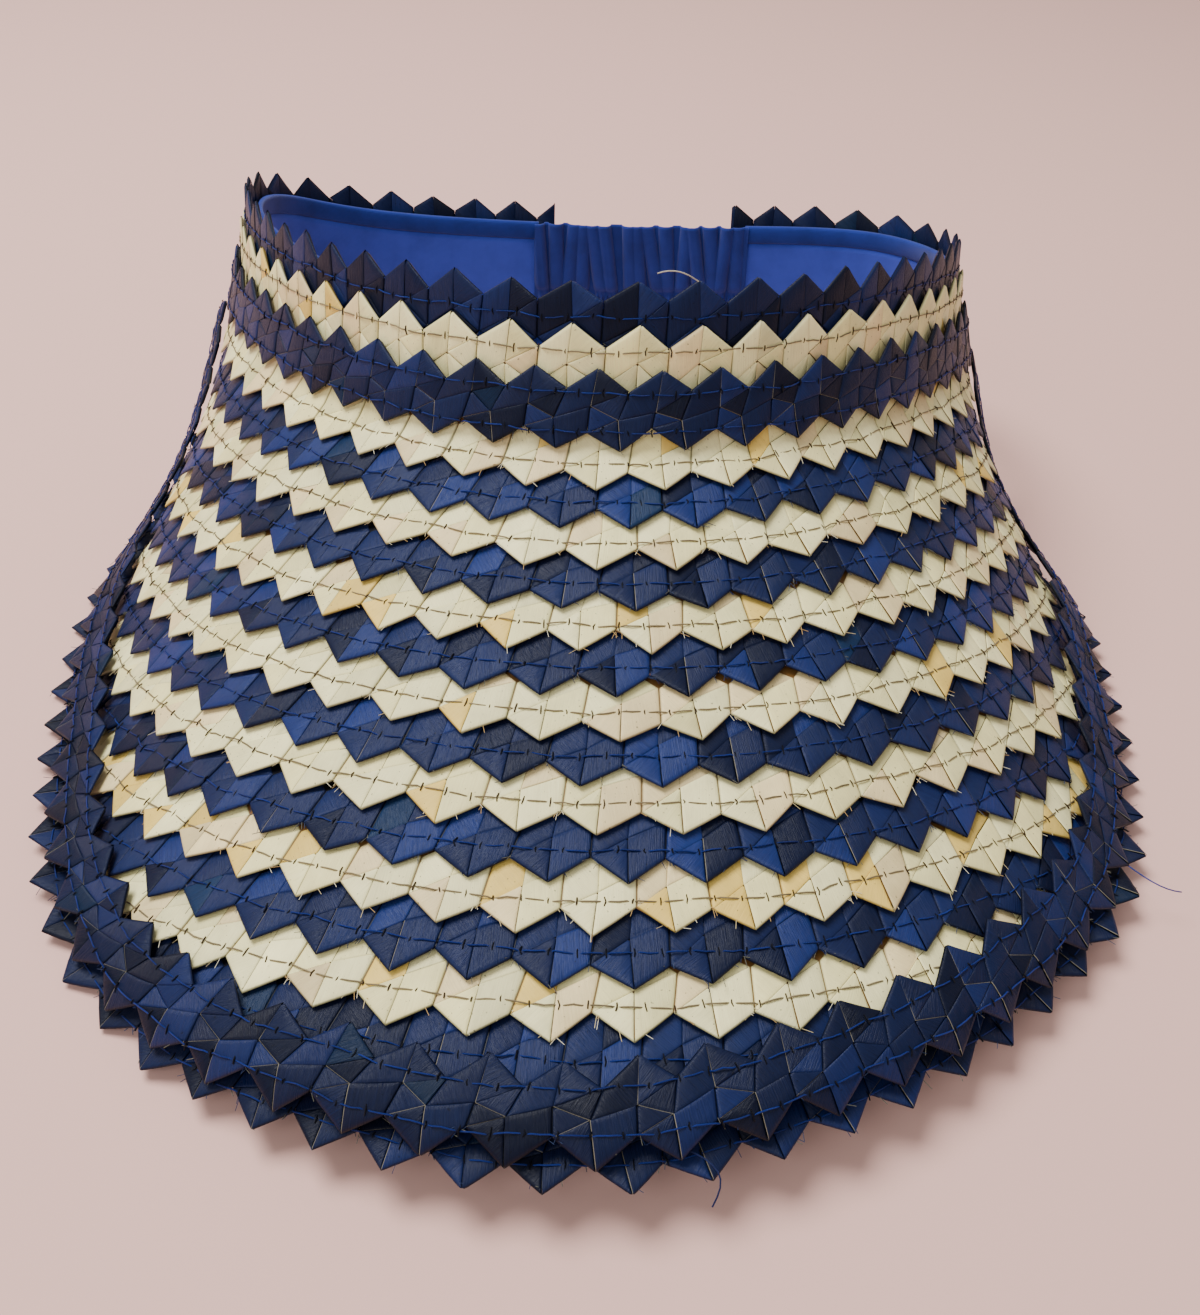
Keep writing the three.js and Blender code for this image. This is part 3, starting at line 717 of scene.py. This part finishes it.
# Dark brown and near black ticks are painted shade in the needle holes
HOLE_SHADE_NATURAL, HOLE_SHADE_BLUE = linear((62, 44, 26)), linear((5, 7, 18))
FRAY_NATURAL = linear([(214, 196, 150), (196, 160, 104), (236, 228, 200)])
FRAY_BLUE = linear([(30, 44, 88), (60, 74, 108), (120, 118, 104)])


def straw_braid(name, course, pitch, shift, style, blue, rng, pale, seams, trim=0.3, yellowed=0,
                painted_shade=1.0):
    """One braid of the visor with its seams, in place of its solid."""
    shell = Shell()
    # Painted shade: a dark sheet inside the braid, seen through its slits
    shade_core(shell, course, pitch, shift, style, SHADE_CORE_BLUE if blue else SHADE_CORE_NATURAL)
    # The blue palette is multiplied by a painted shade factor, darker for braids that face away from the
    # light
    braid(shell, course, pitch, shift, style, BLUE * painted_shade if blue else NATURAL, rng, pale, trim, yellowed)
    frays(shell, course, pitch, shift, FRAY_BLUE if blue else FRAY_NATURAL, rng)
    thread = THREAD_BLUE if blue else THREAD_NATURAL
    for share in seams:
        across = HALF - share * BRAID_WIDTH
        stitches(seam_blue if blue else seam_natural, needle_marks, course, across, thread,
                 HOLE_SHADE_BLUE if blue else HOLE_SHADE_NATURAL, rng)
    obj = shell.make(f"{name}_straw", blue_straw if blue else natural_straw)
    return finish_piece(obj, name)


# Crown: each course's pitch, shift, plait and share of pale lines, then its seams as
# shares of the braid's width above its lower tips
rim_q, rim_length = along(-CROWN_HEIGHT)
half_teeth = np.arange(-60, 61) * CROWN_PITCH / 2
band_left = np.interp(half_teeth[np.argmin(abs(half_teeth + BAND_LEFT))], rim_length, rim_q)
band_right = np.interp(half_teeth[np.argmin(abs(half_teeth - BAND_RIGHT))], rim_length, rim_q)
CROWN_ROWS = [(12.0, 0.43, "crown", 0.0), (12.1, 0.45, "crown", 0.2), (12.73, 0.25, "sheared", 0.8)]
CROWN_SEAMS = [(0.56,), (0.68,), (0.7, 0.25)]
crown_lifts = [tilted(0, -LAYER / CROWN_STEP)] * 2 + [tilted(LAYER, 0)]
for row, (pitch, shift, style, pale) in enumerate(CROWN_ROWS):
    depth = -(CROWN_HEIGHT - HALF - row * CROWN_STEP)
    line_depth = -CROWN_HEIGHT if row < 2 else depth + HALF
    course = Course(depth, line_depth, crown_lifts[row], band_left, band_right)
    blue = row != 1
    rng = np.random.default_rng(100 + row)
    # Painted shade: the crown's blue braids are darkened to 0.7 of the palette
    straw_braid(f"crown_braid_{row + 1}", course, pitch, shift, style, blue, rng, pale, CROWN_SEAMS[row],
                trim=1.0, painted_shade=0.7)

# Brim: two natural courses have more yellowed leaf than the rest
YELLOWED = {4: 0.1, 10: 0.3}
BRIM_SEAMS = (0.37,)
for row, (share, shift) in enumerate(BRIM_COURSES):
    tips = (row + 1) * BRIM_STEP
    left, right = border.end(tips - COURSE_END, -1), border.end(tips - COURSE_END, 1)
    course = Course(tips - HALF, tips, tilted(0, LAYER / BRIM_STEP), left, right, clip=True)
    blue = row % 2 == 1
    rng = np.random.default_rng(200 + row)
    straw_braid(f"brim_braid_{row + 4:02d}", course, share * BRIM_PITCH, shift, "brim", blue, rng,
                0.35 if blue else 0.0, BRIM_SEAMS, trim=1.0, yellowed=YELLOWED.get(row, 0))

# Border
reach = LAYER / BRIM_STEP * HALF + STRAW / 2
over, meet = reach + CLEARANCE + STRAW / 2, LAYER / 2
top_section = [(-HALF, over), (COURSE_TUCK + CLEARANCE, over), (HALF, meet)]
under_section = [(-HALF, -over), (-FLARE_LINE - UNDER_REVEAL, -over), (HALF, -meet)]
for name, stations, offset, start, end, pitch, shift, pale in (
    ("border_braid_top", top_section, 0.0, 0.0, 1.0, BORDER_PITCH, 0.5, 0.85),
    ("border_braid_under", under_section, UNDER_REVEAL, 0.08, 0.92, UNDER_PITCH, 0.0, 0.6),
):
    course = BorderCourse(stations, offset, start, end)
    rng = np.random.default_rng(300 + len(name))
    # Painted shade: the border's blue is darkened to 0.58 of the palette
    straw_braid(name, course, pitch, shift, "sheared", True, rng, pale, (0.7, 0.27), painted_shade=0.58)

# Loose thread ends at the border and one at the crown's rim. Each has its share of the
# border's route, its length, its sway and its colour.
loose = Shell()
turns = np.linspace(0, 1, 9)
course = BorderCourse(top_section, 0.0, 0.0, 1.0)
LOOSE_ENDS = [(0.515, 9, 4.0, (30, 40, 84)), (0.66, 12, -5.0, (52, 70, 150))]
for share, size, sway, rgb in LOOSE_ENDS:
    spot = np.full(2, share)
    tip, normal = course.station(spot, HALF, 0.0)
    inner, _ = course.station(spot, HALF - 2.0, 0.0)
    ahead, _ = course.station(spot + 0.01, HALF, 0.0)
    outward, beside = tip[0] - inner[0], ahead[0] - tip[0]
    outward, beside = outward / np.linalg.norm(outward), beside / np.linalg.norm(beside)
    path = inner[0] + np.outer(turns * size, outward) + np.outer(sway * np.sin(2.6 * turns), beside)
    path = path + np.outer(1.6 * np.sin(3.1 * turns), normal[0])
    tubes(loose, path[None], 0.14, linear([rgb]))
rim = Course(-(CROWN_HEIGHT - HALF), -CROWN_HEIGHT, crown_lifts[0], band_left, band_right)
rim_thread_from, rim_thread_size = 17, 8
rim_spot = rim_thread_from - rim_thread_size * turns
path = rim.place(rim_spot, -HALF + 0.4 - 2.0 * np.sin(2.2 * turns), 0.5 + 0.8 * np.sin(3.1 * turns))
tubes(loose, path[None], 0.13, linear([(206, 200, 180)]))
finish_piece(loose.make("loose_threads", blue_straw), None)

for shell, name, slot, material in (
    (seam_natural, "stitching_natural", "straw_natural", natural_straw),
    (seam_blue, "stitching_blue", "straw_blue", blue_straw),
    (needle_marks, "needle_marks", "straw_blue", blue_straw),
):
    finish_piece(shell.make(name, material), None)


# Cloth
def cloth_band(low, high, start, end, lift, wall, columns, rows, wrinkle, height_shape=None):
    """A closed wall of cloth inside the crown, and the size of its sheet laid flat."""
    q = np.linspace(start, end, columns)
    t = np.linspace(-high, -low, rows)
    qq, tt = np.meshgrid(q, t, indexing="ij")
    point, normal = surface(qq, tt)
    length = np.concatenate([[0], np.cumsum(np.linalg.norm(np.diff(point[:, 0], axis=0), axis=1))])
    ss = np.broadcast_to(length[:, None], qq.shape)
    push = wrinkle(ss, tt)
    middle = point + normal * (lift + push)[..., None]
    flat = [np.linalg.norm(np.diff(middle, axis=k), axis=-1).sum(k).mean() / 1000 for k in (0, 1)]
    sides = []
    bulge = 0 if height_shape is None else height_shape(np.linspace(0, 1, rows))[None, :]
    for offset in (wall / 2, -wall / 2 - bulge):
        sides.append(point + normal * (lift + push + offset)[..., None])
    front, back = (s.reshape(-1, 3) for s in sides)
    faces = grid_faces(columns, rows)
    count = columns * rows
    i = np.arange(columns - 1)
    j = np.arange(rows - 1)
    top = np.stack([i * rows, i * rows + count, (i + 1) * rows + count, (i + 1) * rows], 1)
    foot = top[:, ::-1] + rows - 1
    head = np.stack([j, j + 1, j + 1 + count, j + count], 1)
    tail = head[:, ::-1] + (columns - 1) * rows
    shell = Shell()
    uv = np.stack([ss, tt], -1).reshape(-1, 2) / 10
    rgb = np.ones((2 * count, 3))
    every = np.concatenate([faces, faces[:, ::-1] + count, top, foot, head, tail])
    shell.add(np.concatenate([front, back]), every, rgb, np.concatenate([uv, uv]))
    return shell, flat


LINING_LIFT = -(LAYER + STRAW / 2 + CLEARANCE + LINING / 2)
LINING_TOP = CROWN_HEIGHT - LINING_DROP
lap, slit = CASING_LAP / HALF_WIDTH, CLEARANCE / HALF_WIDTH


def lining_wrinkle(s, t):
    """The lining's slight waves along its length s, at depth t."""
    return 0.12 * np.sin(s / 9 + 0.6 * np.sin(s / 31)) * np.cos(t / 8)


def hem_round(v):
    """The bound hem's roundness from its top to its foot."""
    return 0.5 * np.sin(math.pi * v) ** 0.6


ends = band_left + lap + slit, band_right - lap - slit
shell, flat = cloth_band(
    LINING_FOOT, LINING_TOP - BINDING_HEIGHT - 0.1, *ends, LINING_LIFT,
    wall=0.7, columns=360, rows=14, wrinkle=lining_wrinkle)
lining = finish_piece(shell.make("lining_sheet", lining_cloth), "lining")
shell, _ = cloth_band(
    LINING_TOP - BINDING_HEIGHT, LINING_TOP, *ends, LINING_LIFT,
    wall=LINING, columns=360, rows=9, wrinkle=lambda s, t: 0 * s, height_shape=hem_round)
hem = finish_piece(shell.make("lining_hem", binding_cloth), "lining_binding")

# The casing's gathers: rounded ridges with narrow valleys, some of them merging
GATHERS, GATHER_DEPTH, RIDGE_HALF_WIDTH = 15, 2.2, 0.53
rng = np.random.default_rng(11)
ridge_at = (np.arange(-1, GATHERS + 1) + 0.5 + rng.normal(0, 0.16, GATHERS + 2)) / GATHERS
ridge_lean = rng.normal(0, 0.035, GATHERS + 2)
ridge_size = rng.uniform(0.75, 1.15, GATHERS + 2)
CASING_SEAM = 6.5


def gather(s, t):
    """How far the casing stands out: ridges, with a seam near the foot and pleats below."""
    span = s.max()
    up = (-t - CASING_FOOT) / (LINING_TOP - CASING_FOOT)
    place = s[..., None] / span
    centre = ridge_at + ridge_lean * (0.5 - up[..., None]) * 1.4
    near = abs(place - centre) * GATHERS / RIDGE_HALF_WIDTH
    ridges = (ridge_size * np.sqrt(np.clip(1 - near**2, 0, 1))).max(-1)
    seam = np.exp(-(((-t - CASING_FOOT - CASING_SEAM) / 0.9) ** 2))
    pleats = 0.5 * np.sin(2 * math.pi * (2.3 * GATHERS * s / span + 1.2 * np.sin(9 * s / span)))
    low = smooth((CASING_SEAM - (-t - CASING_FOOT)) / 2)
    depth = ridges * (1 - low) + (0.55 * ridges + 0.45 * pleats) * low
    near_end = smooth(3 - np.minimum(s, span - s))
    return GATHER_DEPTH * (0.5 - np.clip(np.maximum(depth - 0.5 * seam, 0.4 * near_end), 0, 1.05))


shell, flat = cloth_band(
    CASING_FOOT, LINING_TOP, band_right - lap - 5 * slit, band_left + lap + 5 * slit + 2 * math.pi,
    LINING_LIFT - GATHER_DEPTH / 2, wall=0.6, columns=420, rows=34, wrinkle=gather)
casing = finish_piece(shell.make("elastic_casing_cloth", casing_cloth), "elastic_casing")

# Stage, light and camera
bpy.ops.mesh.primitive_plane_add(size=8, location=(0, 0, -0.0004))
floor = bpy.context.object
floor.name = "floor"
paper = bpy.data.materials.new("paper")
paper.use_nodes = True
paper_shader = paper.node_tree.nodes["Principled BSDF"]
paper_shader.inputs["Base Color"].default_value = (*linear((236, 190, 178)), 1)
paper_shader.inputs["Roughness"].default_value = 0.95
paper_shader.inputs["Specular IOR Level"].default_value = 0.1
floor.data.materials.append(paper)

studio = bpy.data.worlds.new("studio")
bpy.context.scene.world = studio
studio.use_nodes = True
studio.node_tree.nodes["Background"].inputs["Color"].default_value = (0.98, 0.95, 0.94, 1)
studio.node_tree.nodes["Background"].inputs["Strength"].default_value = 0.46


def area_light(name, spot, target, size, power):
    """A round soft light that faces its target."""
    data = bpy.data.lights.new(name, "AREA")
    data.shape = "DISK"
    data.size = size
    data.energy = power
    light = bpy.data.objects.new(name, data)
    light.location = spot
    light.rotation_euler = (Vector(target) - Vector(spot)).to_track_quat("-Z", "Y").to_euler()
    bpy.context.collection.objects.link(light)


area_light("key", (-0.45, 0.2, 1.2), (0, 0, 0.05), 0.75, 22)
area_light("fill", (-0.5, -0.9, 0.9), (0, 0, 0.05), 0.7, 4)

# The photograph's viewpoint, found in the visor's own frame
CAMERA_SPOT = (-3.3147, -376.7452, 66.7193)
YAW, PITCH, ROLL = 0.0149, -0.4128, 0.0303
FOCAL_PIXELS, PHOTO_HEIGHT_PIXELS = 1343.35, 1315
forward = Vector((math.sin(YAW) * math.cos(PITCH), math.cos(YAW) * math.cos(PITCH), math.sin(PITCH)))
side = Vector((math.cos(YAW), -math.sin(YAW), 0))
up = side.cross(forward)
right_axis = side * math.cos(ROLL) + up * math.sin(ROLL)
up_axis = -side * math.sin(ROLL) + up * math.cos(ROLL)
turn = Matrix(TURN.tolist())
axes = [turn @ right_axis, turn @ up_axis, -(turn @ forward)]
spot = Vector(world(np.array([CAMERA_SPOT]))[0])
data = bpy.data.cameras.new("camera")
data.sensor_width = 36
data.lens = FOCAL_PIXELS * data.sensor_width / PHOTO_HEIGHT_PIXELS
data.clip_start, data.clip_end = 0.01, 20
camera = bpy.data.objects.new("camera", data)
camera.matrix_world = Matrix.Translation(spot) @ Matrix([[a[i] for a in axes] for i in range(3)]).to_4x4()
bpy.context.collection.objects.link(camera)
bpy.context.scene.camera = camera
